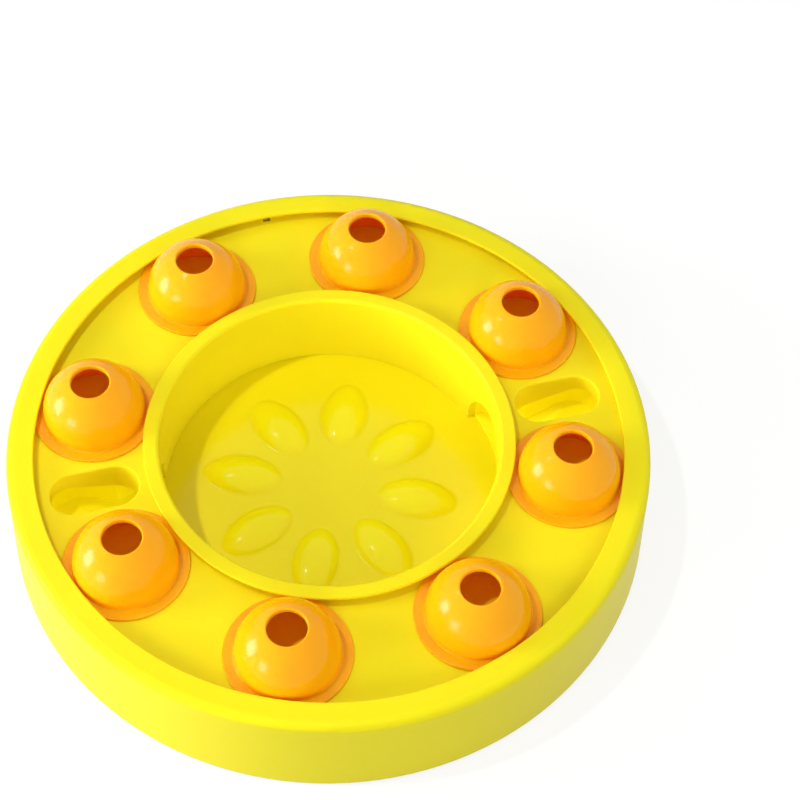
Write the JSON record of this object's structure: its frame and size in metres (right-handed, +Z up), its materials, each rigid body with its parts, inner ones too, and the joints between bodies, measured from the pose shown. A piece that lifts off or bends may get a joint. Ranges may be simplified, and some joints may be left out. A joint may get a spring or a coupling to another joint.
{
  "type": "dog puzzle feeder",
  "caption": "Round dog puzzle feeder: domed treat cups slide round a ring track over drop slots whose chutes feed a central bowl.",
  "frame": {"origin": "centre of the circle of feet, on the surface the feeder stands on", "axes": "+Z up; +X to the right and +Y to the far side as the feeder is seen in use, with the drop slots near +X and -X"},
  "size_m": [0.25, 0.25, 0.0573],
  "materials": {
    "yellow_plastic": "satin moulded plastic",
    "orange_plastic": "glossy moulded plastic",
    "rubber_pad": "matt soft rubber",
    "screw_steel": "zinc-plated steel"
  },
  "bodies": {
    "feeder_base": {"outer_shell": "yellow_plastic", "track_plate": "yellow_plastic", "bowl_collar": "yellow_plastic", "base_tray": "yellow_plastic", "feed_chute_1": "yellow_plastic", "feed_chute_2": "yellow_plastic", "foot_1": "rubber_pad", "foot_2": "rubber_pad", "foot_3": "rubber_pad", "foot_4": "rubber_pad", "foot_5": "rubber_pad", "foot_6": "rubber_pad", "shell_screws": "screw_steel", "collar_screws": "screw_steel"},
    "dome_a": {"dome_a": "orange_plastic"},
    "dome_b": {"dome_b": "orange_plastic"},
    "dome_c": {"dome_c": "orange_plastic"},
    "dome_d": {"dome_d": "orange_plastic"},
    "dome_e": {"dome_e": "orange_plastic"},
    "dome_f": {"dome_f": "orange_plastic"},
    "dome_g": {"dome_g": "orange_plastic"},
    "dome_h": {"dome_h": "orange_plastic"}
  },
  "joints": [
    {"name": "dome_a_slide", "type": "hinge", "parent": "feeder_base", "child": "dome_a", "pos_m": [0, 0, 0.0375], "axis": [0, 0, 1], "range_deg": [-14.8, 14.8]},
    {"name": "dome_b_slide", "type": "hinge", "parent": "feeder_base", "child": "dome_b", "pos_m": [0, 0, 0.0375], "axis": [0, 0, 1], "range_deg": [-14.8, 14.8]},
    {"name": "dome_c_slide", "type": "hinge", "parent": "feeder_base", "child": "dome_c", "pos_m": [0, 0, 0.0375], "axis": [0, 0, 1], "range_deg": [-14.8, 14.8]},
    {"name": "dome_d_slide", "type": "hinge", "parent": "feeder_base", "child": "dome_d", "pos_m": [0, 0, 0.0375], "axis": [0, 0, 1], "range_deg": [-14.8, 14.8]},
    {"name": "dome_e_slide", "type": "hinge", "parent": "feeder_base", "child": "dome_e", "pos_m": [0, 0, 0.0375], "axis": [0, 0, 1], "range_deg": [-14.8, 14.8]},
    {"name": "dome_f_slide", "type": "hinge", "parent": "feeder_base", "child": "dome_f", "pos_m": [0, 0, 0.0375], "axis": [0, 0, 1], "range_deg": [-14.8, 14.8]},
    {"name": "dome_g_slide", "type": "hinge", "parent": "feeder_base", "child": "dome_g", "pos_m": [0, 0, 0.0375], "axis": [0, 0, 1], "range_deg": [-14.8, 14.8]},
    {"name": "dome_h_slide", "type": "hinge", "parent": "feeder_base", "child": "dome_h", "pos_m": [0, 0, 0.0375], "axis": [0, 0, 1], "range_deg": [-14.8, 14.8]}
  ]
}
